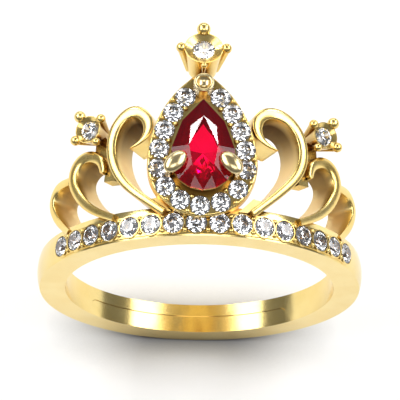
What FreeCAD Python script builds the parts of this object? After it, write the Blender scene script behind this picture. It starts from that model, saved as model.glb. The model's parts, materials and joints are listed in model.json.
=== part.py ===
"""A crown ring: a plain shank with a row of brilliants, a pear ruby in a halo, six scrolls and three
small collets. The finger bore runs along Y, y = 0 is the flat front edge of the band, the crown
rises towards +Y, and the stones face +Z. Sizes are millimetres."""
import FreeCAD
import Part
import Sketcher
import math
import os
from FreeCAD import Placement, Rotation, Vector

SIZES = {
    "bore_radius": 8.65,            # finger size
    "band_wall": 1.64,              # bore to the outer edge of the front face
    "band_width": 1.9,              # along the finger
    "band_crown": 0.16,             # how far the outer surface bulges
    "taper_start": 4.3,             # height above the bore's axis where the band starts to narrow
    "taper_end_width": 0.95,        # band width at the back of the shank
    "recess_depth": 0.07,           # polished recess inside the back of the shank
    "recess_half_width": 6.4,
    "recess_shift": -0.4,           # the recess stands a little to one side
    "recess_lip": 0.12,             # left between the recess and the front face
    "recess_width": 1.0,
    "recess_corner": 0.35,
    "row_count": 16,
    "row_stone": 1.3,               # diameter of a row stone
    "row_gap": 0.133,               # between neighbouring stones
    "row_pitch": "=row_stone + row_gap",
    "row_edge": 0.06,               # from the front edge to the stones' scalloped rim
    "row_offset": "=row_edge + row_stone / 2 + rim_wall",
    "row_height": 0.19,             # girdles above the front face's outer edge
    "rim_wall": 0.07,               # metal round a stone
    "rim_lip": 0.05,                # metal above the girdle
    "seat_floor": 0.12,             # metal below a culet
    "strip_half_width": "=row_stone / 2 + 0.03",
    "bead_radius": 0.15,
    "row_bead_spread": "=row_stone / 2 - 0.19",
    "halo_bead_spread": "=halo_stone / 2 - 0.13",
    "crest_shift": -0.4,            # the halo and the top collet stand a little to one side
    "halo_rise": 2.55,              # from the band's back edge to the middle of the pear's round end
    "halo_gap": 0.125,              # between the ruby and the halo stones
    "halo_round": "=gem_round + halo_gap + halo_stone / 2",
    "halo_tip": "=gem_tip + 1.45",  # round end's middle to the tip of the stones' line
    "halo_border": "=halo_stone / 2 + 0.055",
    "halo_top": "=halo_tip + 0.53", # round end's middle to the plate's top
    "halo_stone": 1.25,
    "halo_first": 1.5,              # along the stone line from the tip to the first stone
    "halo_pitch": "=halo_stone + 0.04",
    "halo_wide_pitch": "=halo_stone + 0.15",  # below the claw on the side with one stone fewer
    "halo_height": 0.71,            # girdles above the band's front face edge
    "halo_plate": 0.85,             # thickness
    "gem_round": 2.0,               # half of the ruby's 4 mm width
    "gem_tip": 4.0,                 # round end's middle to its tip
    "gem_lift": 0.8,                # ruby's girdle above the halo stones' girdles
    "gem_crown": 0.56,
    "gem_pavilion": 1.62,
    "gem_girdle": 0.08,
    "basket_wall": 0.12,
    "basket_rim": 0.04,             # how far the basket shows round the ruby
    "claw_length": 0.88,            # half-lengths of a claw's head
    "claw_width": 0.56,
    "claw_height": 0.38,
    "claw_stem": 0.22,
    "tip_claw_radius": 0.64,
    "tip_claw_dimple": 0.4,
    "tip_claw_offset": 1.0,         # beyond the ruby's tip
    "large_depth": 2.2,             # radial depth of each pair of scrolls
    "middle_depth": 1.7,
    "small_depth": 1.75,
    "large_height": 0.55,           # scroll front above the band's front face edge
    "middle_height": 0.35,
    "small_height": 0.2,
    "ribbon_width": 0.6,
    "top_stone": 1.4,
    "top_rim": "=top_stone / 2 + 0.52",
    "top_base": 0.9,
    "top_depth": 2.0,
    "top_rise": 7.4,                # from the middle of the halo's round end to the top stone
    "top_height": 1.3,
    "top_tilt": 17.0,
    "side_stone": 1.2,
    "side_rim": "=side_stone / 2 + 0.3",
    "side_base": 0.55,
    "side_depth": 1.5,
    "side_rise": 5.7,
    "side_arc": 8.1,
    "side_height": 0.71,
    "side_turn": 32.0,
    "collet_wall": 0.2,
    "collet_lip": 0.2,              # a collet's rim above its stone's girdle
    "collet_edge": 0.06,            # flat left round a collet's dished rim
    "strut_thickness": 0.9,
    "strut_arc": 7.05,
    "web_thickness": 0.5,
    "web_arc": 2.35,
    "stone_gap": 0.01,              # between a stone and its seat
}
TABLE_SHARE = 0.56                  # round brilliant: table width over girdle width
CROWN_SHARE = 0.16                  # crown height over diameter
PAVILION_SHARE = 0.42
GIRDLE_SHARE = 0.03
STAR_SHARE = 0.5                    # star facets reach half-way to the girdle
HALF_SHARE = 0.75                   # lower girdle facets reach three quarters of the way to the culet
MAINS = 8                           # main facets of a round brilliant
GEM_CORNERS = (0.0, 0.255, 0.5, 0.66, 0.785, 0.895, 1.0)  # along half the pear's outline, from its tip
GEM_WAIST = 0.7                     # table's middle, from the middle of the round end
GEM_TABLE_WIDTH = 0.46              # table over outline
GEM_TABLE_LENGTH = 0.6
GEM_STAR_REACH = 0.42               # star facets' points: share of the way out, and of the crown's height
GEM_STAR_HEIGHT = 0.56
GEM_HALF_REACH = 0.66               # lower girdle facets' points: share of the way in, and of the depth
GEM_HALF_DEPTH = 0.61
CLAW_ANGLE = -19                    # where a claw stands round the pear's round end, in degrees
CLAW_OVERHANG = 0.62                # how far its head reaches over, as a share of the head's half-length
HALO_CLAW_STEP = 5                  # halo stones between the tip and the claws
SIDES = {"left": -1, "right": 1}
# Prongs of a right-hand or middle collet: angle round the stone in degrees, radius of the ball, and
# how far up the collet's side the prong starts.
BALL_OUT, BALL_UP = 0.6, 0.5        # a prong ball's middle beyond the rim, in ball radii
STEM_FOOT, STEM_HEAD = 0.45, 0.85   # a prong stem's radii at its two ends, in ball radii
TOP_PRONGS = ((0, 0.33, 0.0), (90, 0.44, 0.0), (180, 0.33, 0.0), (270, 0.2, 0.5))
SIDE_PRONGS = ((58, 0.38, 0.0), (148, 0.3, 0.0), (238, 0.26, 0.3), (328, 0.32, 0.0))

doc = FreeCAD.newDocument("crown_ring")
sheet = doc.addObject("Spreadsheet::Sheet", "Sizes")
nodes = []


def fill_sheet():
    """Writes the sizes; a value that starts with = follows from others."""
    for row, (alias, value) in enumerate(SIZES.items(), start=1):
        sheet.set(f"A{row}", alias)
        sheet.set(f"B{row}", str(value))
        sheet.setAlias(f"B{row}", alias)
    doc.recompute()


def size(alias):
    return float(sheet.get(alias))


def node(piece, label):
    """Marks a piece as a sub-part of its own."""
    piece.Label = label
    nodes.append(piece)
    return piece


def primitive(kind, name, placement, **formulas):
    piece = doc.addObject(f"Part::{kind}", name)
    for prop, formula in formulas.items():
        piece.setExpression(prop, formula)
    piece.Placement = placement
    return piece


def fuse(name, pieces):
    fused = doc.addObject("Part::MultiFuse", name)
    fused.Shapes = pieces
    fused.Refine = True
    return fused


def group(name, pieces):
    compound = doc.addObject("Part::Compound", name)
    compound.Links = pieces
    return compound


def cut(name, base, tools):
    """Takes the tools away from the base, one after another."""
    for number, tool in enumerate(tools, start=1):
        result = doc.addObject("Part::Cut", f"{name}_{number}")
        result.Base = base
        result.Tool = tool
        base = result
    return base


def on_ring(arc, radius, along, drop=0.0):
    """A place at an arc length from the top of the ring, with local z pointing outwards.
    drop moves it inwards, at the same angle."""
    turn = arc / radius
    reach = radius - drop
    spot = Vector(reach * math.sin(turn), along, reach * math.cos(turn))
    return Placement(spot, Rotation(Vector(0, 1, 0), math.degrees(turn)))


def plane_of(body, role):
    return next(part for part in body.Origin.OriginFeatures if part.Role == role)


def sketch_on(body, role, name, height=0.0):
    sketch = body.newObject("Sketcher::SketchObject", name)
    sketch.AttachmentSupport = [(plane_of(body, role), "")]
    sketch.MapMode = "FlatFace"
    sketch.AttachmentOffset = Placement(Vector(0, 0, height), Rotation())
    return sketch


def drive(sketch, kind, where, name, formula):
    """Adds a dimension to a sketch and ties it to the sheet."""
    index = sketch.addConstraint(Sketcher.Constraint(kind, *where, float(sketch.evalExpression(formula))))
    sketch.renameConstraint(index, name)
    sketch.setExpression(f"Constraints.{name}", formula)


# ---------------------------------------------------------------- shank

def shank_profile(body):
    """Half section of the band: sketch x runs along the finger, sketch y is the radius."""
    bore, wall, width = size("bore_radius"), size("band_wall"), size("band_width")
    crown = size("band_crown")
    corners = [Vector(0, bore, 0), Vector(0, bore + wall, 0), Vector(width, bore + wall, 0),
               Vector(width, bore, 0)]
    sketch = sketch_on(body, "YZ_Plane", "shank_profile")
    bulge = ((width / 2) ** 2 + crown ** 2) / (2 * crown)
    centre = Vector(width / 2, bore + wall + crown - bulge, 0)
    start = math.acos(width / 2 / bulge)
    outer = Part.ArcOfCircle(Part.Circle(centre, Vector(0, 0, 1), bulge), start, math.pi - start)
    edges = [Part.LineSegment(corners[0], corners[1]), outer,
             Part.LineSegment(corners[2], corners[3]), Part.LineSegment(corners[3], corners[0])]
    sketch.addGeometry(edges, False)
    # The arc runs from the rear edge back to the front face.
    joins = [(0, 2, 1, 2), (1, 1, 2, 1), (2, 2, 3, 1), (3, 2, 0, 1)]
    for first, first_end, second, second_end in joins:
        sketch.addConstraint(Sketcher.Constraint("Coincident", first, first_end, second, second_end))
    for line in (0, 2):
        sketch.addConstraint(Sketcher.Constraint("Vertical", line))
    sketch.addConstraint(Sketcher.Constraint("Horizontal", 3))
    sketch.addConstraint(Sketcher.Constraint("PointOnObject", 0, 1, -2))
    drive(sketch, "DistanceY", (-1, 1, 0, 1), "bore", "Sizes.bore_radius")
    drive(sketch, "DistanceY", (0, 1, 0, 2), "wall", "Sizes.band_wall")
    drive(sketch, "DistanceX", (-1, 1, 2, 1), "width", "Sizes.band_width")
    drive(sketch, "DistanceY", (-1, 1, 2, 1), "rear_edge", "Sizes.bore_radius + Sizes.band_wall")
    drive(sketch, "Radius", (1,), "crown", "((Sizes.band_width / 2)^2 + Sizes.band_crown^2)"
                                           " / (2 * Sizes.band_crown)")
    return sketch


def shank_blank():
    body = doc.addObject("PartDesign::Body", "shank_blank")
    sketch = shank_profile(body)
    turn = body.newObject("PartDesign::Revolution", "shank_turn")
    turn.Profile = sketch
    turn.ReferenceAxis = (sketch, ["H_Axis"])
    turn.Angle = 360
    return body


def shank_taper():
    """A block whose front face leans in, so that the band narrows towards the back of the shank."""
    outer = size("bore_radius") + size("band_wall") + size("band_crown")
    fall = size("taper_start") + outer
    lean = math.degrees(math.atan2(size("band_width") - size("taper_end_width"), fall))
    turn = Rotation(Vector(1, 0, 0), lean)
    edge = Vector(-2 * outer, size("band_width"), size("taper_start"))
    place = Placement(edge - turn.multVec(Vector(0, 0, 2 * fall)), turn)
    return primitive("Box", "shank_taper", place, Length=str(4 * outer), Width="Sizes.band_width",
                     Height=str(2 * fall))


def shank_recess():
    """The shallow recess that lightens the inside of the shank opposite the crown."""
    lip = size("recess_lip")
    corner = Vector(size("recess_shift") - size("recess_half_width"), lip, -size("bore_radius") * 2)
    block = primitive("Box", "recess_block", Placement(corner, Rotation()),
                      Length="2 * Sizes.recess_half_width", Height="2 * Sizes.bore_radius",
                      Width="Sizes.recess_width")
    doc.recompute()
    rounded = doc.addObject("Part::Fillet", "recess_rounded")
    rounded.Base = block
    rear = lip + size("recess_width")
    upright = [number for number, edge in enumerate(block.Shape.Edges, start=1)
               if all(abs(vertex.Y - rear) < size("stone_gap") for vertex in edge.Vertexes)
               and abs(edge.tangentAt(0).z) > size("stone_gap")]
    soft = size("recess_corner")
    rounded.Edges = [(number, soft, soft) for number in upright]
    disc = primitive("Cylinder", "recess_disc", Placement(Vector(0, 0, 0), Rotation(Vector(1, 0, 0), -90)),
                     Radius="Sizes.bore_radius + Sizes.recess_depth", Height="Sizes.band_width")
    common = doc.addObject("Part::Common", "recess")
    common.Base = rounded
    common.Tool = disc
    return common


# ---------------------------------------------------------------- stones

def stone_solid(table, stars, upper, lower, halves, culet):
    """A cut stone: table, star, bezel and girdle facets above, pavilion facets below.
    upper and lower hold two girdle points for each table corner."""
    count = len(table)
    faces = [Part.Face(Part.makePolygon(table + table[:1]))]

    def triangle(*corners):
        faces.append(Part.Face(Part.makePolygon([*corners, corners[0]])))

    for number in range(count):
        after = (number + 1) % count
        main, half, main_after = 2 * number, 2 * number + 1, 2 * after
        star, pavilion = stars[number], halves[number]
        triangle(table[number], table[after], star)
        triangle(table[number], star, upper[main])
        triangle(table[after], upper[main_after], star)
        triangle(star, upper[half], upper[main])
        triangle(star, upper[main_after], upper[half])
        triangle(pavilion, lower[main], lower[half])
        triangle(pavilion, lower[half], lower[main_after])
        triangle(culet, lower[main], pavilion)
        triangle(culet, pavilion, lower[main_after])
        for start, end in ((main, half), (half, main_after)):
            faces.append(Part.Face(Part.makePolygon([upper[start], upper[end], lower[end], lower[start],
                                                     upper[start]])))
    solid = Part.Solid(Part.makeShell(faces))
    if solid.Volume < 0:
        solid.reverse()
    return solid.removeSplitter()


def round_stone(diameter):
    """A round brilliant with its girdle's upper edge in the plane z = 0."""
    radius = diameter / 2
    crown, pavilion, girdle = CROWN_SHARE * diameter, PAVILION_SHARE * diameter, GIRDLE_SHARE * diameter
    half_turn = math.pi / MAINS

    def spot(step, reach, height):
        return Vector(reach * math.cos(step * half_turn), reach * math.sin(step * half_turn), height)

    def ring(reach, height, offset, steps):
        return [spot(offset + step, reach, height) for step in range(0, 2 * MAINS, steps)]

    star_reach = radius * (1 - STAR_SHARE + STAR_SHARE * TABLE_SHARE) / math.cos(half_turn)
    half_reach = radius * (1 - HALF_SHARE) / math.cos(half_turn)
    return stone_solid(ring(radius * TABLE_SHARE, crown, 0, 2), ring(star_reach, crown * STAR_SHARE, 1, 2),
                       ring(radius, 0, 0, 1), ring(radius, -girdle, 0, 1),
                       ring(half_reach, -girdle - (pavilion - girdle) * HALF_SHARE, 1, 2),
                       Vector(0, 0, -pavilion))


def place_stone(name, shape, placement):
    stone = doc.addObject("Part::Feature", name)
    stone.Shape = shape
    stone.Placement = placement
    return node(stone, name)


def seat(name, placement, stone):
    """The hole a round stone sits in: a straight bore above its girdle and a cone below."""
    below = Vector(0, 0, -GIRDLE_SHARE * size(stone))
    radius = f"Sizes.{stone} / 2 + Sizes.stone_gap"
    straight = primitive("Cylinder", f"{name}_bore", placement.multiply(Placement(below, Rotation())),
                         Radius=radius, Height=f"Sizes.{stone}")
    down = Placement(below, Rotation(Vector(1, 0, 0), 180))
    cone = primitive("Cone", f"{name}_cone", placement.multiply(down), Radius1=radius,
                     Radius2="Sizes.stone_gap", Height=f"{PAVILION_SHARE} * Sizes.{stone} + Sizes.stone_gap")
    return [straight, cone]


# ---------------------------------------------------------------- row of stones on the band

def row_girdle_radius():
    return size("bore_radius") + size("band_wall") + size("row_height")


def row_places():
    """Where each row stone sits, from left to right."""
    count, radius = int(size("row_count")), row_girdle_radius()
    first = -(count - 1) / 2
    return [on_ring((first + number) * size("row_pitch"), radius, size("row_offset"))
            for number in range(count)]


def row_floor():
    """Formula for the depth from the girdle to the bottom of the setting."""
    return f"({PAVILION_SHARE} * Sizes.row_stone + Sizes.seat_floor)"


def row_strip():
    """A sector of a tube between the first and the last stone."""
    body = doc.addObject("PartDesign::Body", "row_strip")
    sketch = sketch_on(body, "YZ_Plane", "row_strip_profile")
    middle, half = size("row_offset"), size("strip_half_width")
    outer = row_girdle_radius()
    floor = PAVILION_SHARE * size("row_stone") + size("seat_floor")
    low = outer - floor
    high = size("bore_radius") + size("band_wall") + size("band_crown") + size("stone_gap")
    corners = [Vector(middle - half, low, 0), Vector(middle + half, low, 0),
               Vector(middle + half, high, 0), Vector(middle - half, high, 0)]
    sketch.addGeometry([Part.LineSegment(corners[number], corners[(number + 1) % 4])
                        for number in range(4)], False)
    turn = body.newObject("PartDesign::Revolution", "row_strip_turn")
    turn.Profile = sketch
    turn.ReferenceAxis = (sketch, ["H_Axis"])
    turn.Midplane = True
    turn.setExpression("Angle", "(Sizes.row_count - 1) * Sizes.row_pitch * 180 / pi"
                                " / (Sizes.bore_radius + Sizes.band_wall + Sizes.row_height)")
    return body


def row_cups():
    """One short cup round each stone: side by side they make the scalloped edge."""
    cups = []
    for number, place in enumerate(row_places(), start=1):
        down = Placement(Vector(0, 0, -PAVILION_SHARE * size("row_stone") - size("seat_floor")), Rotation())
        cups.append(primitive("Cylinder", f"row_cup_{number:02d}", place.multiply(down),
                              Radius="Sizes.row_stone / 2 + Sizes.rim_wall",
                              Height=f"{row_floor()} + Sizes.rim_lip"))
    return cups


def row_beads():
    """Grains raised between neighbouring stones, on both sides of the row."""
    beads = []
    count = int(size("row_count"))
    for number in range(1, count):
        arc = (number - count / 2) * size("row_pitch")
        for side in (-1, 1):
            along = size("row_offset") + side * size("row_bead_spread")
            beads.append(primitive("Sphere", f"row_bead_{len(beads) + 1:02d}",
                                   on_ring(arc, row_girdle_radius(), along), Radius="Sizes.bead_radius"))
    return beads


# ---------------------------------------------------------------- pear outlines

def pear_arc(round_radius, tip):
    """Radius of the two long arcs that run from the round end's sides to the tip."""
    return (round_radius ** 2 + tip ** 2) / (2 * round_radius)


def pear_offset(round_radius, tip, offset):
    """The round end's radius and the tip's distance of a pear moved outwards by an offset."""
    arc = pear_arc(round_radius, tip)
    return round_radius + offset, math.sqrt((arc + offset) ** 2 - (arc - round_radius) ** 2)


def pear_edges(round_radius, tip, centre):
    """The pear as three arcs; centre is the middle of its round end."""
    arc = pear_arc(round_radius, tip)
    turn = math.atan2(tip, arc - round_radius)
    up = Vector(0, 0, 1)
    right = Part.Circle(centre - Vector(arc - round_radius, 0, 0), up, arc)
    left = Part.Circle(centre + Vector(arc - round_radius, 0, 0), up, arc)
    return [Part.ArcOfCircle(Part.Circle(centre, up, round_radius), math.pi, 2 * math.pi),
            Part.ArcOfCircle(right, 0, turn), Part.ArcOfCircle(left, math.pi - turn, math.pi)]


def pear_point(round_radius, tip, along):
    """The point at a distance along the pear's right side, measured from its tip."""
    arc = pear_arc(round_radius, tip)
    turn = math.atan2(tip, arc - round_radius)
    if along < arc * turn:
        angle = turn - along / arc
        return Vector(arc * math.cos(angle) - (arc - round_radius), arc * math.sin(angle), 0)
    angle = (arc * turn - along) / round_radius
    return Vector(round_radius * math.cos(angle), round_radius * math.sin(angle), 0)


def pear_half_length(round_radius, tip):
    arc = pear_arc(round_radius, tip)
    return arc * math.atan2(tip, arc - round_radius) + round_radius * math.pi / 2


# ---------------------------------------------------------------- halo

def crest(along=0.0, height=0.0):
    """A point above the middle of the halo's round end."""
    return Vector(size("crest_shift"), size("band_width") + size("halo_rise") + along, height)


def halo_level():
    """Height of the halo stones' girdles."""
    return size("bore_radius") + size("band_wall") + size("halo_height")


def halo_steps():
    """Distances of the halo stones from the tip on each side. The left side is filled first, and the
    right side, spaced wider below its claw, takes what still fits."""
    half = pear_half_length(size("halo_round"), size("halo_tip"))
    pitch, wide = size("halo_pitch"), size("halo_wide_pitch")
    above = [size("halo_first") + number * pitch for number in range(HALO_CLAW_STEP)]
    left, right = list(above), list(above)
    while left[-1] + pitch <= half:
        left.append(left[-1] + pitch)
    while 2 * half - left[-1] - (right[-1] + wide) >= size("halo_stone"):
        right.append(right[-1] + wide)
    return [(-1, step) for step in left] + [(1, step) for step in reversed(right)]


def halo_place(side, along, offset=0.0):
    """A place on the halo's stone line, or beside it by an offset."""
    round_radius, tip = size("halo_round"), size("halo_tip")
    point = pear_point(round_radius, tip, along)
    ahead = pear_point(round_radius, tip, along + size("stone_gap"))
    tangent = (ahead - point).normalize()
    spot = point + Vector(-tangent.y, tangent.x, 0) * offset
    return Placement(crest(spot.y, halo_level()) + Vector(side * spot.x, 0, 0), Rotation())


def halo_blank():
    """The pear plate, with a blunt top and a rounded front edge."""
    body = doc.addObject("PartDesign::Body", "halo_blank")
    base = halo_level() - size("halo_plate")
    sketch = sketch_on(body, "XY_Plane", "halo_outline", base)
    centre, up = crest(), Vector(0, 0, 1)
    border, top = size("halo_border"), size("halo_top")
    arc = pear_arc(size("halo_round"), size("halo_tip"))
    shift = arc - size("halo_round")
    outer, low = arc + border, size("halo_round") + border
    # The top arc touches both side arcs from inside.
    rise = (shift ** 2 - (outer - top) ** 2) / (2 * (outer - top))
    turn = math.atan2(rise, shift)
    sketch.addGeometry([
        Part.ArcOfCircle(Part.Circle(centre, up, low), math.pi, 2 * math.pi),
        Part.ArcOfCircle(Part.Circle(centre - Vector(shift, 0, 0), up, outer), 0, turn),
        Part.ArcOfCircle(Part.Circle(centre + Vector(0, rise, 0), up, top - rise), turn, math.pi - turn),
        Part.ArcOfCircle(Part.Circle(centre + Vector(shift, 0, 0), up, outer), math.pi - turn, math.pi),
    ], False)
    pad = body.newObject("PartDesign::Pad", "halo_pad")
    pad.Profile = sketch
    pad.setExpression("Length", "Sizes.halo_plate")
    doc.recompute()
    front = [f"Edge{number}" for number, edge in enumerate(pad.Shape.Edges, start=1)
             if all(abs(vertex.Z - halo_level()) < size("stone_gap") for vertex in edge.Vertexes)]
    soft = body.newObject("PartDesign::Fillet", "halo_soft_edge")
    soft.Base = (pad, front)
    soft.setExpression("Radius", "Sizes.bead_radius")
    return body


def halo_opening():
    """The hole behind the ruby."""
    body = doc.addObject("PartDesign::Body", "halo_opening")
    sketch = sketch_on(body, "XY_Plane", "halo_opening_outline", halo_level() - 2 * size("halo_plate"))
    round_radius, tip = pear_offset(size("gem_round"), size("gem_tip"), -size("halo_border"))
    sketch.addGeometry(pear_edges(round_radius, tip, crest()), False)
    pad = body.newObject("PartDesign::Pad", "halo_opening_pad")
    pad.Profile = sketch
    pad.setExpression("Length", "3 * Sizes.halo_plate")
    return body


def halo_beads():
    """Grains between the halo stones, inside and outside their line."""
    beads = []
    spread = size("halo_bead_spread")
    steps = halo_steps()
    for (side, along), (next_side, next_along) in zip(steps, steps[1:]):
        if side != next_side:
            continue
        for offset in (-spread, spread):
            place = halo_place(side, (along + next_along) / 2, offset)
            beads.append(primitive("Sphere", f"halo_bead_{len(beads) + 1:02d}", place,
                                   Radius="Sizes.bead_radius"))
    return beads


# ---------------------------------------------------------------- ruby, its basket and claws

def gem_level():
    return halo_level() + size("gem_lift")


def gem_solid():
    """A pear brilliant with six main facets, its girdle's upper edge in the plane z = 0."""
    round_radius, tip = size("gem_round"), size("gem_tip")
    crown, pavilion, girdle = size("gem_crown"), size("gem_pavilion"), size("gem_girdle")
    half = pear_half_length(round_radius, tip)
    right = [pear_point(round_radius, tip, share * half) for share in GEM_CORNERS]
    left = [Vector(-point.x, point.y, 0) for point in right[-2:0:-1]]
    outline = right + left
    waist = Vector(0, GEM_WAIST, 0)

    def table_corner(point):
        inward = point - waist
        return waist + Vector(inward.x * GEM_TABLE_WIDTH, inward.y * GEM_TABLE_LENGTH, crown)

    mains, mids = outline[0::2], outline[1::2]
    table = [table_corner(point) for point in mains]
    stars, halves = [], []
    for number, mid in enumerate(mids):
        edge = (table[number] + table[(number + 1) % len(table)]) * 0.5
        star = edge + (mid - edge) * GEM_STAR_REACH
        stars.append(Vector(star.x, star.y, crown * GEM_STAR_HEIGHT))
        below = mid + (waist - mid) * GEM_HALF_REACH
        halves.append(Vector(below.x, below.y, -girdle - (pavilion - girdle) * GEM_HALF_DEPTH))
    lower = [point - Vector(0, 0, girdle) for point in outline]
    return stone_solid(table, stars, outline, lower, halves, Vector(waist.x, waist.y, -pavilion))


def basket_blank():
    """The flared collar under the ruby, before its seat is cut."""
    body = doc.addObject("PartDesign::Body", "basket_blank")
    sections = []
    inset = size("basket_wall") * 2
    for name, height, offset in (("basket_foot", 0.0, -inset),
                                 ("basket_rim", size("gem_lift") - size("gem_girdle"), size("basket_rim"))):
        sketch = sketch_on(body, "XY_Plane", name, halo_level() + height)
        round_radius, tip = pear_offset(size("gem_round"), size("gem_tip"), offset)
        sketch.addGeometry(pear_edges(round_radius, tip, crest()), False)
        sections.append(sketch)
    loft = body.newObject("PartDesign::AdditiveLoft", "basket_loft")
    loft.Profile = sections[0]
    loft.Sections = sections[1:]
    loft.Ruled = True
    return body


def claw(side, sign):
    """One of the two oval claws over the ruby's shoulders, with its stem down to the halo."""
    angle = math.radians(CLAW_ANGLE)
    root = size("gem_round") + size("claw_stem")
    foot = crest(root * math.sin(angle), halo_level()) + Vector(sign * root * math.cos(angle), 0, 0)
    stem = primitive("Cylinder", f"{side}_claw_stem", Placement(foot, Rotation()),
                     Radius="Sizes.claw_stem", Height="Sizes.gem_lift + Sizes.claw_height")
    reach = Vector(-sign, 1, 0).normalize() * size("claw_length")
    centre = foot + reach * CLAW_OVERHANG + Vector(0, 0, size("gem_lift") + size("claw_height"))
    head_turn = Rotation(Vector(0, 0, 1), 90 + sign * 45)
    head = primitive("Ellipsoid", f"{side}_claw_head", Placement(centre, head_turn),
                     Radius1="Sizes.claw_height", Radius2="Sizes.claw_length", Radius3="Sizes.claw_width")
    return fuse(f"{side}_claw_blank", [stem, head])


def tip_claw_blank():
    """The round claw beyond the ruby's tip: a short post with a rounded rim and a dimple."""
    body = doc.addObject("PartDesign::Body", "tip_claw_blank")
    sketch = sketch_on(body, "YZ_Plane", "tip_claw_profile")
    radius, dimple = size("tip_claw_radius"), size("tip_claw_dimple")
    rim = (radius - dimple) / 2
    low, high = 0.0, size("gem_lift") + size("claw_height") - rim
    depth = dimple / 2
    bowl = (dimple ** 2 + depth ** 2) / (2 * depth)
    half_turn = math.asin(dimple / bowl) / 2
    dip = high - depth
    flank = Vector(bowl * math.sin(half_turn), dip + bowl * (1 - math.cos(half_turn)), 0)
    sketch.addGeometry([
        Part.LineSegment(Vector(0, low, 0), Vector(radius, low, 0)),
        Part.LineSegment(Vector(radius, low, 0), Vector(radius, high, 0)),
        Part.Arc(Vector(radius, high, 0), Vector(radius - rim, high + rim, 0), Vector(dimple, high, 0)),
        Part.Arc(Vector(dimple, high, 0), flank, Vector(0, dip, 0)),
        Part.LineSegment(Vector(0, dip, 0), Vector(0, low, 0)),
    ], False)
    turn = body.newObject("PartDesign::Revolution", "tip_claw_turn")
    turn.Profile = sketch
    turn.ReferenceAxis = (sketch, ["V_Axis"])
    turn.Angle = 360
    body.Placement = Placement(crest(size("gem_tip") + size("tip_claw_offset"), halo_level()), Rotation())
    return body


# ---------------------------------------------------------------- scrolls

# Middle line of each right-hand scroll: across (from the scroll's own middle) and along the finger
# (from the band's back edge), from its foot on the band to the end of its curl; and the curl's eye.
SCROLLS = {
    "large": {"arc": 4.9, "samples": 26, "widths": (0.8, 1.05, 1.2, 0.12), "eye": (0.0, 4.7), "line": (
        (-2.15, -0.5), (-0.9, 0.52), (0.35, 1.65), (1.28, 3.0), (1.5, 4.5), (0.95, 5.85), (-0.3, 6.47),
        (-1.22, 5.98), (-1.42, 5.12), (-0.98, 4.4), (-0.1, 3.98))},
    "middle": {"arc": 7.85, "samples": 20, "widths": (0.8, 1.1, 1.15, 0.7), "eye": (0.3, 2.6), "line": (
        (-1.75, -0.4), (-0.8, 0.05), (0.5, 0.9), (1.42, 2.0), (1.74, 3.15), (1.15, 4.08), (0.2, 4.13),
        (-0.5, 3.65), (-0.78, 2.75))},
    "small": {"arc": 11.2, "samples": 16, "widths": (0.75, 0.9, 0.9, 0.8), "eye": (-0.2, 1.9), "line": (
        (-1.15, -0.4), (-0.3, 0.28), (0.7, 1.3), (1.05, 2.4), (0.55, 3.0), (-0.45, 3.13), (-1.25, 3.05))},
}


def ribbon_width(shares, progress):
    """Ribbon width along its length, from four shares: foot, middle, curl and end."""
    stops = (0.0, 0.45, 0.82, 1.0)
    for start, end, low, high in zip(stops, stops[1:], shares, shares[1:]):
        if progress <= end:
            step = (progress - start) / (end - start)
            ease = step * step * (3 - 2 * step)
            return size("ribbon_width") * (low + (high - low) * ease)
    return size("ribbon_width") * shares[-1]


def lean(plan, across, along):
    """How far the crest's shift moves a point: fully beside the halo, not at all further out."""
    reach, rise = 6.2, 3.0
    outward = min(max((reach - plan["arc"] - across) / 2, 0), 1)
    return size("crest_shift") * outward * min(max(along / rise, 0), 1)


def flare(progress):
    """How far a ribbon's rear reaches in towards the eye of its curl: most where the curl turns over."""
    reach, start, end = 0.4, 0.42, 1.0
    return reach * math.sin(math.pi * min(max((progress - start) / (end - start), 0), 1)) ** 2


def ribbon_sides(plan, sign, squeeze, is_rear):
    """The two long sides of a ribbon, as points; squeeze narrows it across the ring."""
    across, along = plan["eye"]
    eye = Vector(sign * across + lean(plan, across, along), size("band_width") + along, 0)
    spine = Part.BSplineCurve()
    spine.interpolate([Vector(sign * across + lean(plan, across, along), size("band_width") + along, 0)
                       for across, along in plan["line"]])
    first, last = spine.FirstParameter, spine.LastParameter
    sides = ([], [])
    for number in range(plan["samples"] + 1):
        progress = number / plan["samples"]
        spot = spine.value(first + (last - first) * progress)
        tangent = spine.tangent(first + (last - first) * progress)[0]
        across = Vector(-tangent.y, tangent.x, 0) * (ribbon_width(plan["widths"], progress) / 2)
        for points, point, side in zip(sides, (spot + across, spot - across), (1, -1)):
            if is_rear and side == sign:
                point += (eye - point) * flare(progress)
            points.append(Vector(point.x * squeeze, point.y, 0))
    return sides


def scroll_blank(kind, side, sign):
    """A ribbon stood on edge: its walls run radially, so its inner outline is narrower."""
    plan = SCROLLS[kind]
    outer = size("bore_radius") + size("band_wall") + size(f"{kind}_height")
    inner = outer - size(f"{kind}_depth")
    body = doc.addObject("PartDesign::Body", f"{side}_{kind}_blank")
    sections = []
    for name, radius in (("front", outer), ("rear", inner)):
        sketch = sketch_on(body, "XY_Plane", f"{side}_{kind}_{name}", radius)
        left, right = ribbon_sides(plan, sign, radius / outer, name == "rear")
        edges = []
        for points in (left, right[::-1]):
            edge = Part.BSplineCurve()
            edge.interpolate(points)
            edges.append(edge)
        edges.insert(1, Part.LineSegment(left[-1], right[-1]))
        edges.append(Part.LineSegment(right[0], left[0]))
        sketch.addGeometry(edges, False)
        sections.append(sketch)
    loft = body.newObject("PartDesign::AdditiveLoft", f"{side}_{kind}_loft")
    loft.Profile = sections[0]
    loft.Sections = sections[1:]
    loft.Ruled = True
    turn = sign * math.degrees(plan["arc"] / outer)
    body.Placement = Placement(Vector(0, 0, 0), Rotation(Vector(0, 1, 0), turn))
    return body


# ---------------------------------------------------------------- small plates between the pieces

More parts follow.
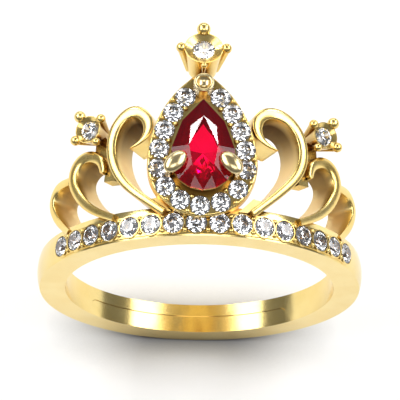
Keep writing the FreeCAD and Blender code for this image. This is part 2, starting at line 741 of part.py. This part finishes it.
STRUT_OUTLINE = ((0.55, 5.05), (-0.2, 5.3), (-0.7, 4.6), (-0.86, 3.2), (-1.0, 2.2), (-0.12, 2.3),
                 (-0.19, 2.75), (0.06, 3.65), (0.61, 4.13))
FOOT_WEB_OUTLINE = ((-0.35, -0.42), (0.2, -0.42), (1.3, 0.42), (0.6, 0.55))


def small_plate(name, outline, place, sign, thickness):
    """A flat plate whose outline is given across and along, from the band's back edge."""
    body = doc.addObject("PartDesign::Body", name)
    sketch = sketch_on(body, "XY_Plane", f"{name}_outline")
    corners = [Vector(sign * across, along, 0) for across, along in outline]
    sketch.addGeometry([Part.LineSegment(corner, corners[(number + 1) % len(corners)])
                        for number, corner in enumerate(corners)], False)
    pad = body.newObject("PartDesign::Pad", f"{name}_pad")
    pad.Profile = sketch
    pad.setExpression("Length", thickness)
    body.Placement = place
    return body


def strut_blank(side, sign):
    """The plate that ties a side collet to the large and the middle scroll."""
    place = on_ring(sign * size("strut_arc"), size("bore_radius") + size("band_wall"), size("band_width"),
                    size("strut_thickness"))
    return small_plate(f"{side}_strut_blank", STRUT_OUTLINE, place, sign, "Sizes.strut_thickness")


def foot_web_blank(side, sign):
    """The plate between the halo, the large scroll's foot and the band."""
    place = on_ring(sign * size("web_arc") + size("crest_shift") / 2, size("bore_radius") + size("band_wall"),
                    size("band_width"), size("web_thickness") / 4)
    return small_plate(f"{side}_foot_web_blank", FOOT_WEB_OUTLINE, place, sign, "Sizes.web_thickness")


# ---------------------------------------------------------------- collets

def collet_ring(name, place, kind):
    """A flared tube behind a stone; place is the middle of the stone's girdle."""
    down = place.multiply(Placement(Vector(0, 0, -size(f"{kind}_depth")), Rotation()))
    outer = primitive("Cone", f"{name}_outer", down, Radius1=f"Sizes.{kind}_base",
                      Radius2=f"Sizes.{kind}_rim", Height=f"Sizes.{kind}_depth + Sizes.collet_lip")
    dish = primitive("Cone", f"{name}_dish", place, Radius1=f"Sizes.{kind}_stone / 2 + Sizes.stone_gap",
                     Radius2=f"Sizes.{kind}_rim - Sizes.collet_edge", Height="Sizes.collet_lip")
    inner = primitive("Cone", f"{name}_inner", down, Radius1=f"Sizes.{kind}_base - Sizes.collet_wall",
                      Radius2=f"Sizes.{kind}_stone / 2 - Sizes.stone_gap",
                      Height=f"Sizes.{kind}_depth")
    return outer, inner, dish


def prong(name, place, kind, angle, ball, start):
    """A prong up the outside of a collet, ending in a ball beside the stone."""
    base, rim, depth = size(f"{kind}_base"), size(f"{kind}_rim"), size(f"{kind}_depth")
    out = Vector(math.cos(math.radians(angle)), math.sin(math.radians(angle)), 0)
    foot = out * (base + (rim - base) * start) - Vector(0, 0, depth * (1 - start))
    head = out * (rim + ball * BALL_OUT) + Vector(0, 0, ball * BALL_UP)
    lean = Rotation(Vector(0, 0, 1), head - foot)
    stem = primitive("Cone", f"{name}_stem", place.multiply(Placement(foot, lean)),
                     Radius1=f"{ball} * {STEM_FOOT}", Radius2=f"{ball} * {STEM_HEAD}",
                     Height=str((head - foot).Length))
    tip = primitive("Sphere", f"{name}_ball", place.multiply(Placement(head, Rotation())), Radius=str(ball))
    return fuse(name, [stem, tip])


# ---------------------------------------------------------------- the whole ring

def build_row():
    strip, cups = row_strip(), row_cups()
    envelope = fuse("row_envelope", [strip] + cups)
    with_beads = fuse("row_with_beads", [envelope] + row_beads())
    seats = []
    stone = round_stone(size("row_stone"))
    for number, place in enumerate(row_places(), start=1):
        seats += seat(f"row_seat_{number:02d}", place, "row_stone")
        place_stone(f"row_stone_{number:02d}", stone.copy(), place)
    setting = cut("row_setting_cut", with_beads, [fuse("row_seats", seats)])
    node(setting, "row_setting")
    return envelope


def build_shank(envelope):
    blank = shank_blank()
    tools = [shank_taper(), shank_recess(), envelope]
    return blank, node(cut("shank_cut", blank, tools), "shank")


def row_clearance():
    """The room that the row and its stones need, so that nothing else reaches into it."""
    return primitive("Cylinder", "row_clearance",
                     Placement(Vector(0, -size("band_width"), 0), Rotation(Vector(1, 0, 0), -90)),
                     Radius="Sizes.bore_radius + Sizes.band_wall + Sizes.row_height"
                            f" + {CROWN_SHARE} * Sizes.row_stone + Sizes.stone_gap",
                     Height="Sizes.band_width + Sizes.row_offset + Sizes.row_stone / 2"
                            " + Sizes.rim_wall + Sizes.stone_gap")


def build_halo(blank_shank, row_room):
    plate = fuse("halo_with_beads", [halo_blank()] + halo_beads())
    seats = []
    stone = round_stone(size("halo_stone"))
    for number, (side, along) in enumerate(halo_steps(), start=1):
        place = halo_place(side, along)
        seats += seat(f"halo_seat_{number:02d}", place, "halo_stone")
        place_stone(f"halo_stone_{number:02d}", stone.copy(), place)
    bores = fuse("halo_seats", seats)
    tools = [halo_opening(), row_room, blank_shank, bores]
    return node(cut("halo_plate_cut", plate, tools), "halo_plate"), bores


def build_gem(plate, bores):
    gem = place_stone("pear_ruby", gem_solid(), Placement(crest(0, gem_level()), Rotation()))
    basket = node(cut("pear_basket_cut", basket_blank(), [gem]), "pear_basket")
    for side, sign in SIDES.items():
        node(cut(f"{side}_claw_cut", claw(side, sign), [gem, basket, plate, bores]), f"{side}_claw")
    node(cut("tip_claw_cut", tip_claw_blank(), [gem, basket, plate, bores]), "tip_claw")


def build_scrolls(shank, row_room, plate, halo_bores):
    """Each scroll is cut by what it stands against, so that they meet face to face."""
    built = {}
    for side, sign in SIDES.items():
        against = [shank, row_room, plate]
        for kind in SCROLLS:
            scroll = cut(f"{side}_{kind}_cut", scroll_blank(kind, side, sign), against)
            built[side, kind] = node(scroll, f"{side}_{kind}_scroll")
            against = [shank, row_room, scroll]
        web = foot_web_blank(side, sign)
        beside = [shank, row_room, plate, halo_bores, built[side, "large"]]
        node(cut(f"{side}_foot_web_cut", web, beside), f"{side}_foot_web")
    return built


def build_collets(plate, scrolls):
    outer_edge = size("bore_radius") + size("band_wall")
    tilt = Rotation(Vector(1, 0, 0), -size("top_tilt"))
    top = Placement(crest(size("top_rise"), outer_edge + size("top_height")), tilt)
    build_collet("top", "top", top, TOP_PRONGS, [plate])
    for side, sign in SIDES.items():
        spot = on_ring(sign * size("side_arc"), outer_edge + size("side_height"),
                       size("band_width") + size("side_rise")).Base
        place = Placement(spot, Rotation(Vector(0, 1, 0), sign * size("side_turn")))
        prongs = [(90 - sign * (90 - angle), ball, start) for angle, ball, start in SIDE_PRONGS]
        beside = [scrolls[side, "large"], scrolls[side, "middle"]]
        collet, prongs_node = build_collet(side, "side", place, prongs, beside)
        node(cut(f"{side}_strut_cut", strut_blank(side, sign), beside + [collet, prongs_node]),
             f"{side}_strut")


def build_collet(name, kind, place, plan, against):
    outer, inner, dish = collet_ring(f"{name}_collet", place, kind)
    stone = place_stone(f"{name}_stone", round_stone(size(f"{kind}_stone")), place)
    seats = fuse(f"{name}_seat", seat(f"{name}_seat", place, f"{kind}_stone"))
    collet = node(cut(f"{name}_collet_cut", outer, [inner, seats, dish] + against), f"{name}_collet")
    prongs = [prong(f"{name}_prong_{number}", place, kind, *values)
              for number, values in enumerate(plan, start=1)]
    prongs_cut = cut(f"{name}_prongs_cut", fuse(f"{name}_prongs_all", prongs), [outer, stone] + against)
    return collet, node(prongs_cut, f"{name}_prongs")


def check_and_write():
    for piece in doc.Objects:
        if "Invalid" in piece.State or "Error" in piece.State:
            raise RuntimeError(f"{piece.Name} failed: {piece.State}")
    os.makedirs("parts", exist_ok=True)
    for piece in nodes:
        shape = piece.Shape
        if shape.isNull() or not shape.isValid() or not shape.Solids:
            raise RuntimeError(f"{piece.Label} has no sound solid")
    for piece in nodes:
        piece.Shape.exportStep(f"parts/{piece.Label}.step")


fill_sheet()
row_envelope = build_row()
band_blank, band = build_shank(row_envelope)
row_space = row_clearance()
halo, halo_seats = build_halo(band_blank, row_space)
build_gem(halo, halo_seats)
all_scrolls = build_scrolls(band, row_space, halo, halo_seats)
build_collets(halo, all_scrolls)
doc.recompute()
check_and_write()
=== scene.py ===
"""Looks for the crown ring: smooth scrolls with rounded rims, polished gold, cut stones, and a
soft light set-up on a pale floor. Metres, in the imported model's own frame: the finger bore runs
along Y, the crown rises towards +Y, and the stones face +Z."""
import json
import math
import bpy
import numpy as np
from mathutils import Matrix, Vector


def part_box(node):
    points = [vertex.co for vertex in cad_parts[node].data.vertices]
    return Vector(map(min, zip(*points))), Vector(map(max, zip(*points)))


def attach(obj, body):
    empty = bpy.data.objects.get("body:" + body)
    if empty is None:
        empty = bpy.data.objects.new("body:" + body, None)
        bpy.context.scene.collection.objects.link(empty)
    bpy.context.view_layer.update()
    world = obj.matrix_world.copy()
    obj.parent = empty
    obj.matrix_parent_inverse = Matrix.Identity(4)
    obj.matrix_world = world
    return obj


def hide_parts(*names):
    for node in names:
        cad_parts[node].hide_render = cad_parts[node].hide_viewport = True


MM = 0.001
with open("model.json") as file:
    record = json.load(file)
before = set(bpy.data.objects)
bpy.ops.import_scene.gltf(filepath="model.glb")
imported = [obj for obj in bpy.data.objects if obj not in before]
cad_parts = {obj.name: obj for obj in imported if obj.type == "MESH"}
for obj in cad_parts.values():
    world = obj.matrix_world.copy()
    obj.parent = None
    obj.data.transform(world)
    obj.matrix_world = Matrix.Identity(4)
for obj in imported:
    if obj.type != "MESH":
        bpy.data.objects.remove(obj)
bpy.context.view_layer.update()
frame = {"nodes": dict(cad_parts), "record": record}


# ---------------------------------------------------------------- places from the frame

BAND_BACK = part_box("shank")[1].y
BAND_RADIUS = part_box("shank")[1].x
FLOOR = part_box("shank")[0].z
MIDDLE = sum(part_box("pear_ruby"), Vector()) / 2
CREST_SHIFT = sum(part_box("tip_claw"), Vector()).x / 2
STUDIO = 20 * BAND_RADIUS           # camera, lights and floor are placed in shares of this


# ---------------------------------------------------------------- materials

def material(name):
    """A new node material, and its shader."""
    made = bpy.data.materials.new(name)
    made.use_nodes = True
    return made, made.node_tree.nodes["Principled BSDF"]


def noise(tree, scale, detail, roughness=0.5):
    """Noise in the object's own coordinates; scale is in features per millimetre."""
    places = tree.nodes.new("ShaderNodeTexCoord")
    texture = tree.nodes.new("ShaderNodeTexNoise")
    texture.inputs["Scale"].default_value = scale / MM
    texture.inputs["Detail"].default_value = detail
    texture.inputs["Roughness"].default_value = roughness
    tree.links.new(places.outputs["Object"], texture.inputs["Vector"])
    return texture.outputs["Fac"]


def ramp(tree, value, stops):
    """Colours along a value: stops are (place, colour)."""
    node = tree.nodes.new("ShaderNodeValToRGB")
    elements = node.color_ramp.elements
    for element, (place, colour) in zip(elements, stops):
        element.position = place
        element.color = (*colour, 1)
    for place, colour in stops[len(elements):]:
        elements.new(place).color = (*colour, 1)
    tree.links.new(value, node.inputs["Fac"])
    return node.outputs["Color"]


def spread(tree, value, low, high):
    """A value from 0 to 1 spread over a range."""
    node = tree.nodes.new("ShaderNodeMapRange")
    node.inputs["To Min"].default_value = low
    node.inputs["To Max"].default_value = high
    tree.links.new(value, node.inputs["Value"])
    return node.outputs["Result"]


def bump(tree, shader, height, distance, strength):
    """Waviness of a surface, without moving it."""
    node = tree.nodes.new("ShaderNodeBump")
    node.inputs["Distance"].default_value = distance
    node.inputs["Strength"].default_value = strength
    tree.links.new(height, node.inputs["Height"])
    tree.links.new(node.outputs["Normal"], shader.inputs["Normal"])


CREVICE_PAINTED_SHADE = (0.30, 0.14, 0.03)        # painted shade: gold darkened towards brown in corners and crevices
CURL_PAINTED_SHADE = (0.07, 0.025, 0.002)    # painted shade: gold darkened to deep brown high inside the scrolls' curls
WALL_SATIN = 0.34                   # the scrolls' inner walls are that much less polished
WALL_PAINTED_SHEEN = (1.0, 0.76, 0.38)       # painted sheen: the walls are painted paler, where the painted shade doesn't cover them
CONTACT_SHADE = (0.16, 0.16, 0.16)  # painted shadow on the paper right under the ring


def mix(tree, share, first, second):
    """A mix of two colours; either may be a colour or another node's output."""
    node = tree.nodes.new("ShaderNodeMix")
    node.data_type = "RGBA"
    for place, value in ((6, first), (7, second)):
        if isinstance(value, tuple):
            node.inputs[place].default_value = (*value, 1)
        else:
            tree.links.new(value, node.inputs[place])
    tree.links.new(share, node.inputs[0])
    return node.outputs[2]


def crevice(tree, reach):
    """How open a spot is to its surroundings: 0 in a tight corner, 1 in the open."""
    node = tree.nodes.new("ShaderNodeAmbientOcclusion")
    node.inputs["Distance"].default_value = reach * MM
    return node.outputs["AO"]


def attribute(tree, name):
    """A value that a mesh carries at its points; 0 where it has none."""
    node = tree.nodes.new("ShaderNodeAttribute")
    node.attribute_name = name
    return node.outputs["Fac"]


def total(tree, first, second):
    """The sum of two values."""
    node = tree.nodes.new("ShaderNodeMath")
    node.operation = "ADD"
    tree.links.new(first, node.inputs[0])
    tree.links.new(second, node.inputs[1])
    return node.outputs[0]


def gold(name, pale, deep, polish, ripple):
    """Polished plated casting: the colour drifts a little, the polish is not even, the surface has
    the faint waviness of a cast and buffed piece, and painted shade darkens tight corners; the scrolls'
    inner walls are rougher, painted paler as a painted sheen, and carry painted shade high in their curls."""
    made, shader = material(name)
    tree = made.node_tree
    shader.inputs["Metallic"].default_value = 1.0
    plate = ramp(tree, noise(tree, 0.5, 2), ((0.35, deep), (0.65, pale)))
    # painted shade: corners that the occlusion finds are darkened towards brown
    corner = ramp(tree, crevice(tree, 1.6), ((0.15, (1, 1, 1)), (0.75, (0, 0, 0))))
    plate = mix(tree, corner, plate, CREVICE_PAINTED_SHADE)
    # painted sheen: the scrolls' inner walls are painted a paler cream
    plate = mix(tree, attribute(tree, "wall"), plate, WALL_PAINTED_SHEEN)
    # painted shade: the scrolls' "shade" attribute darkens their inner walls high in the curls
    plate = mix(tree, attribute(tree, "shade"), plate, CURL_PAINTED_SHADE)
    tree.links.new(plate, shader.inputs["Base Color"])
    even = spread(tree, noise(tree, 3, 4), *polish)
    wall = spread(tree, attribute(tree, "wall"), 0.0, WALL_SATIN)
    tree.links.new(total(tree, even, wall), shader.inputs["Roughness"])
    bump(tree, shader, noise(tree, 1.1, 3), ripple * MM, 0.35)
    return made


def clear_stone():
    """Clear cubic zirconia with a faint cool drift."""
    made, shader = material("clear_stone")
    tree = made.node_tree
    shader.inputs["Transmission Weight"].default_value = 0.97
    shader.inputs["IOR"].default_value = 2.16
    shader.inputs["Roughness"].default_value = 0.0
    tree.links.new(ramp(tree, noise(tree, 0.4, 1), ((0.3, (0.93, 0.95, 1.0)), (0.7, (1.0, 1.0, 1.0)))),
                   shader.inputs["Base Color"])
    return made


def ruby():
    """Deep red stone with a faint painted glow, as though lit from inside. It bends light less than corundum
    does, so that the lights lay no pink veil over its table."""
    made, shader = material("ruby")
    tree = made.node_tree
    shader.inputs["Transmission Weight"].default_value = 1.0
    shader.inputs["IOR"].default_value = 1.45
    shader.inputs["Roughness"].default_value = 0.0
    # painted glow: the stone gives off a little red light of its own
    shader.inputs["Emission Color"].default_value = (0.75, 0.0, 0.03, 1)
    shader.inputs["Emission Strength"].default_value = 0.07
    tree.links.new(ramp(tree, noise(tree, 0.3, 2), ((0.3, (0.70, 0.0, 0.02)), (0.7, (0.95, 0.0, 0.06)))),
                   shader.inputs["Base Color"])
    return made


def floor_paper():
    """White paper, with a painted shadow where the ring nearly touches it."""
    made, shader = material("floor_paper")
    tree = made.node_tree
    shader.inputs["Roughness"].default_value = 0.9
    shader.inputs["Specular IOR Level"].default_value = 0.0
    paper = ramp(tree, noise(tree, 0.05, 2), ((0.3, (0.93, 0.93, 0.93)), (0.7, (0.95, 0.95, 0.95))))
    # painted shadow: paper near the ring is darkened by the occlusion it finds
    near = ramp(tree, crevice(tree, 4.0), ((0.40, (1, 1, 1)), (0.95, (0, 0, 0))))
    tree.links.new(mix(tree, near, paper, CONTACT_SHADE), shader.inputs["Base Color"])
    return made


MATERIALS = {
    "shank_gold": gold("shank_gold", (0.90, 0.71, 0.30), (0.86, 0.65, 0.24), (0.14, 0.20), 0.008),
    "setting_gold": gold("setting_gold", (0.92, 0.70, 0.27), (0.88, 0.63, 0.20), (0.20, 0.28), 0.010),
    "claw_gold": gold("claw_gold", (0.84, 0.69, 0.38), (0.76, 0.58, 0.28), (0.20, 0.30), 0.010),
    "clear_stone": clear_stone(),
    "ruby": ruby(),
}


# ---------------------------------------------------------------- CAD nodes

FACETED = ("clear_stone", "ruby")
SMOOTH_ANGLE = math.radians(35)


def dress_cad_nodes():
    """Every CAD node takes the material of its slot; the metal ones are shaded smooth."""
    for entry in frame["record"]["subparts"]:
        piece, slot = frame["nodes"][entry["node"]], entry["material_slot"]
        piece.data.materials.clear()
        piece.data.materials.append(MATERIALS[slot])
        if slot in FACETED:
            piece.data.shade_flat()
        else:
            piece.data.shade_smooth()
            piece.data.set_sharp_from_angle(angle=SMOOTH_ANGLE)


# ---------------------------------------------------------------- scrolls

# Middle line of each right-hand scroll, in millimetres: across from the scroll's own middle, and
# along the finger from the band's back edge, from its foot to the end of its curl; and the curl's eye.
# "shade" is how dark the painted shade high in each scroll's curl gets.
SCROLLS = {
    "large": {"arc": 4.9, "shade": 0.95, "front": 0.39, "depth": 2.16, "widths": (0.8, 1.05, 1.2, 0.25),
              "eye": (0.0, 4.7), "line": (
        (-2.15, -0.5), (-0.9, 0.52), (0.35, 1.65), (1.28, 3.0), (1.5, 4.5), (0.95, 5.85), (-0.3, 6.47),
        (-1.22, 5.98), (-1.42, 5.12), (-0.98, 4.4), (-0.1, 3.98))},
    "middle": {"arc": 7.85, "shade": 0.75, "front": 0.19, "depth": 1.68, "widths": (0.8, 1.1, 1.15, 0.8),
               "eye": (0.3, 2.6), "line": (
        (-1.75, -0.4), (-0.8, 0.05), (0.5, 0.9), (1.42, 2.0), (1.74, 3.15), (1.15, 4.08), (0.2, 4.13),
        (-0.5, 3.65), (-0.78, 2.75))},
    "small": {"arc": 11.2, "shade": 0.4, "front": 0.04, "depth": 1.73, "widths": (0.75, 0.9, 0.9, 0.85),
              "eye": (-0.2, 1.9), "line": (
        (-1.15, -0.4), (-0.3, 0.28), (0.7, 1.3), (1.05, 2.4), (0.55, 3.0), (-0.45, 3.13), (-1.25, 3.05))},
}
SIDES = {"left": -1, "right": 1}
RIBBON_WIDTH = 0.6                  # millimetres, as are the heights and reaches below
WIDTH_STOPS = (0.0, 0.45, 0.82, 1.0)    # where along a ribbon its four widths are met
RIM_HEIGHT = 0.12                   # how deep the rounding of a ribbon's front rim is
RIM_STEPS = 8
WALL_STOPS = (0.4, 0.7)             # shares of the depth with points of their own, to carry the painted shade
WALL_ANGLE = math.radians(60)       # sharper edges than this stay sharp
LINE_STEPS = 96
END_ROUNDING = 0.03                 # last share of a ribbon, over which its end is rounded
END_AREA = 0.01                     # square of the width share that is left at the very end
LEAN_REACH, LEAN_FADE, LEAN_RISE = 6.2, 2.0, 3.0    # how far out and up the crest's shift is felt
FLARE_REACH, FLARE_START = 0.4, 0.42    # how far and from where a ribbon's rear leans to its eye
WALL_FADE = 0.25                    # depth over which the wall's look takes over from the rim's
WALL_SHARE = 0.95                   # beyond this share of the half width, a point is on a wall
SHADE_START, SHADE_FADE = 0.5, 0.45     # shares of a scroll's height where its painted shade starts and grows


def curve_through(points, count):
    """Points and directions on the smooth curve through some points (a natural cubic spline)."""
    points = np.array(points, float)
    knots = np.concatenate([[0], np.cumsum(np.linalg.norm(np.diff(points, axis=0), axis=1))])
    gaps, last = np.diff(knots), len(points) - 1
    matrix, right = np.zeros((last + 1, last + 1)), np.zeros(points.shape)
    matrix[0, 0] = matrix[last, last] = 1
    for row in range(1, last):
        before, after = gaps[row - 1], gaps[row]
        matrix[row, row - 1:row + 2] = before, 2 * (before + after), after
        right[row] = 6 * ((points[row + 1] - points[row]) / after - (points[row] - points[row - 1]) / before)
    bend = np.linalg.solve(matrix, right)
    places = np.linspace(0, knots[-1], count)
    span = np.clip(np.searchsorted(knots, places, side="right") - 1, 0, last - 1)
    gap = gaps[span][:, None]
    near, far = (places - knots[span])[:, None], (knots[span + 1] - places)[:, None]
    low, high = bend[span], bend[span + 1]
    slope_low = points[span] / gap - low * gap / 6
    slope_high = points[span + 1] / gap - high * gap / 6
    spots = (low * far ** 3 + high * near ** 3) / (6 * gap) + slope_low * far + slope_high * near
    ways = (high * near ** 2 - low * far ** 2) / (2 * gap) - slope_low + slope_high
    return spots, ways / np.linalg.norm(ways, axis=1)[:, None]


def clamp(value):
    return min(max(value, 0.0), 1.0)


def smooth(value):
    """A soft step from 0 to 1."""
    value = clamp(value)
    return value * value * (3 - 2 * value)


def ribbon_width(shares, progress):
    """Ribbon width along its length, from four shares: foot, middle, curl and end."""
    for start, end, low, high in zip(WIDTH_STOPS, WIDTH_STOPS[1:], shares, shares[1:]):
        if progress <= end:
            step = (progress - start) / (end - start)
            return RIBBON_WIDTH * (low + (high - low) * smooth(step))
    return RIBBON_WIDTH * shares[-1]


def lean(plan, across, along):
    """How far the crest's shift moves a point: fully beside the halo, not at all further out."""
    outward = clamp((LEAN_REACH - plan["arc"] - across) / LEAN_FADE)
    return CREST_SHIFT / MM * outward * clamp(along / LEAN_RISE)


def flare(progress):
    """How far a ribbon's rear reaches in towards the eye of its curl: most where the curl turns over."""
    return FLARE_REACH * math.sin(math.pi * clamp((progress - FLARE_START) / (1 - FLARE_START))) ** 2


def rim_profile(depth):
    """Half of a ribbon's cross-section, from the middle of its front rim to the middle of its rear:
    (share of the half width, distance behind the front)."""
    profile = []
    for step in range(RIM_STEPS + 1):
        turn = math.pi / 2 * step / RIM_STEPS
        profile.append((math.sin(turn), RIM_HEIGHT * (1 - math.cos(turn))))
    profile += [(1.0, depth * share) for share in WALL_STOPS]
    for step in range(RIM_STEPS // 2 + 1):
        turn = math.pi / 2 * step / (RIM_STEPS // 2)
        profile.append((math.cos(turn), depth - RIM_HEIGHT / 2 * (1 - math.sin(turn))))
    return profile


def mesh_piece(name, vertices, faces, slot):
    """A closed smooth mesh that rides on the ring."""
    mesh = bpy.data.meshes.new(name)
    mesh.from_pydata(vertices, [], faces)
    mesh.validate()
    mesh.shade_smooth()
    mesh.set_sharp_from_angle(angle=WALL_ANGLE)
    mesh.materials.append(MATERIALS[slot])
    piece = bpy.data.objects.new(name, mesh)
    bpy.context.scene.collection.objects.link(piece)
    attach(piece, "root")
    return piece


def tube_faces(rows, count):
    """Faces of a closed tube of rings of points, with a cap at each end."""
    faces = []
    for row in range(rows):
        for column in range(count):
            near, far = row * count + column, row * count + (column + 1) % count
            faces.append([near, far, far + count, near + count])
    faces.append(list(range(count))[::-1])
    faces.append([rows * count + column for column in range(count)])
    return faces


def scroll(kind, side, sign):
    """A ribbon stood on edge: swept along its line, with a rounded rim all the way."""
    plan = SCROLLS[kind]
    front = BAND_RADIUS / MM + plan["front"]
    line = [(sign * across + lean(plan, across, along), along) for across, along in plan["line"]]
    spots, ways = curve_through(line, LINE_STEPS + 1)
    half = rim_profile(plan["depth"])
    loop = half + [(-share, behind) for share, behind in half[-2:0:-1]]
    turn = Matrix.Rotation(sign * plan["arc"] / front, 3, "Y")
    across, along = plan["eye"]
    eye = np.array((sign * across + lean(plan, across, along), along))
    low, high = spots[:, 1].min(), spots[:, 1].max()
    vertices, shades, walls = [], [], []
    for number, (spot, way) in enumerate(zip(spots, ways)):
        progress = number / LINE_STEPS
        past = max(0.0, (progress - 1 + END_ROUNDING) / END_ROUNDING)
        width = ribbon_width(plan["widths"], progress) / 2 * math.sqrt(max(1 - past * past, END_AREA))
        for share, behind in loop:
            flat = spot + np.array((-way[1], way[0])) * width * share
            flat = flat + (eye - flat) * flare(progress) * max(share * sign, 0) * behind / plan["depth"]
            place = turn @ Vector((flat[0] * (front - behind) / front, flat[1], front - behind))
            vertices.append((place.x * MM, place.y * MM + BAND_BACK, place.z * MM))
            # the wall mask makes inner walls rougher and gives them their painted sheen
            wall = (share * sign > WALL_SHARE) * clamp((behind - RIM_HEIGHT) / WALL_FADE)
            rise = (flat[1] - low) / (high - low)
            walls.append(wall)
            # painted shade: the upper part of each inner wall, scaled by the scroll's shade share
            shades.append(wall * plan["shade"] * smooth((rise - SHADE_START) / SHADE_FADE))
    piece = mesh_piece(f"{side}_{kind}_ribbon", vertices, tube_faces(LINE_STEPS, len(loop)), "setting_gold")
    for name, values in (("shade", shades), ("wall", walls)):
        piece.data.attributes.new(name, "FLOAT", "POINT").data.foreach_set("value", values)
    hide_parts(f"{side}_{kind}_scroll")


# ---------------------------------------------------------------- floor, lights and camera

VIEW_TURN, VIEW_HEIGHT, VIEW_ROLL = 2.78, 70.97, 0.46   # degrees
CAMERA_DISTANCE = 1.05267           # in shares of the studio, as are the other places and sizes
SENSOR, LENS = 36, 307.5            # millimetres
AIM_RIGHT, AIM_UP = 0.0001932, 0.02631  # how far beside the bore the camera aims, per unit of distance
FLOOR_HALF = 2.871
SKY, SKY_GLOW = (0.95, 0.97, 1.0), 0.2
SOFTBOXES = {                       # place, size and brightness as seen in a reflection
    "left_box": ((-0.861, 0.191, 0.909), (0.670, 1.148), 4.2),
    "right_box": ((0.861, 0.191, 0.909), (0.670, 1.148), 4.2),
    "front_box": ((0.048, -0.383, 1.196), (0.670, 0.383), 3.0),
    "back_box": ((0.0, 1.244, 0.574), (0.957, 0.478), 3.0),
    "left_glint": ((-0.718, 0.823, 0.579), (0.115, 0.115), 30.0),
    "right_glint": ((0.790, 0.799, 0.498), (0.115, 0.115), 30.0),
}


def camera_frame():
    """Unit vectors of the view: towards the camera, to its right and up."""
    turn, height, roll = (math.radians(angle) for angle in (VIEW_TURN, VIEW_HEIGHT, VIEW_ROLL))
    towards = Vector((-math.sin(turn) * math.sin(height), -math.cos(height),
                      math.cos(turn) * math.sin(height)))
    right = Vector((0, 1, 0)).cross(towards).normalized()
    up = towards.cross(right)
    return towards, math.cos(roll) * right + math.sin(roll) * up, math.cos(roll) * up - math.sin(roll) * right


def look_along(thing, spot, back, right, up):
    """Places a camera or light: it looks along minus back."""
    turn = Matrix((right, up, back)).transposed().to_4x4()
    thing.matrix_world = Matrix.Translation(spot) @ turn


def add_camera():
    """A long lens, aimed so that the ring stands where it should in the picture."""
    towards, right, up = camera_frame()
    distance = CAMERA_DISTANCE * STUDIO
    camera = bpy.data.objects.new("camera", bpy.data.cameras.new("camera"))
    bpy.context.scene.collection.objects.link(camera)
    camera.data.sensor_width = SENSOR
    camera.data.lens = LENS
    camera.data.clip_start = distance / 100
    aim = -towards + AIM_RIGHT * right + AIM_UP * up
    back = -aim.normalized()
    side = up.cross(back).normalized()
    look_along(camera, towards * distance, back, side, back.cross(side))
    bpy.context.scene.camera = camera


def add_floor():
    """A pale floor, large enough to fill every view."""
    half = FLOOR_HALF * STUDIO
    mesh = bpy.data.meshes.new("floor")
    corners = [(-half, -half, FLOOR), (half, -half, FLOOR), (half, half, FLOOR), (-half, half, FLOOR)]
    mesh.from_pydata(corners, [], [(0, 1, 2, 3)])
    mesh.materials.append(floor_paper())
    floor = bpy.data.objects.new("floor", mesh)
    bpy.context.scene.collection.objects.link(floor)


def softbox(name, spot, size, glow):
    """An area light that faces the ring's crown."""
    light = bpy.data.objects.new(name, bpy.data.lights.new(name, "AREA"))
    bpy.context.scene.collection.objects.link(light)
    width, height = (side * STUDIO for side in size)
    place = Vector(spot) * STUDIO
    light.data.shape = "RECTANGLE"
    light.data.size, light.data.size_y = width, height
    light.data.energy = glow * math.pi * width * height
    back = (place - MIDDLE).normalized()
    side = Vector((0, 1, 0)).cross(back).normalized()
    look_along(light, place, back, side, back.cross(side))


def add_lights():
    """A faint cool sky and the softboxes."""
    world = bpy.data.worlds.new("studio")
    bpy.context.scene.world = world
    world.use_nodes = True
    background = world.node_tree.nodes["Background"]
    background.inputs["Color"].default_value = (*SKY, 1)
    background.inputs["Strength"].default_value = SKY_GLOW
    for name, (spot, size, glow) in SOFTBOXES.items():
        softbox(name, spot, size, glow)


dress_cad_nodes()
for side_name, side_sign in SIDES.items():
    for scroll_kind in SCROLLS:
        scroll(scroll_kind, side_name, side_sign)
add_floor()
add_lights()
add_camera()
bpy.context.scene.view_settings.view_transform = "Standard"
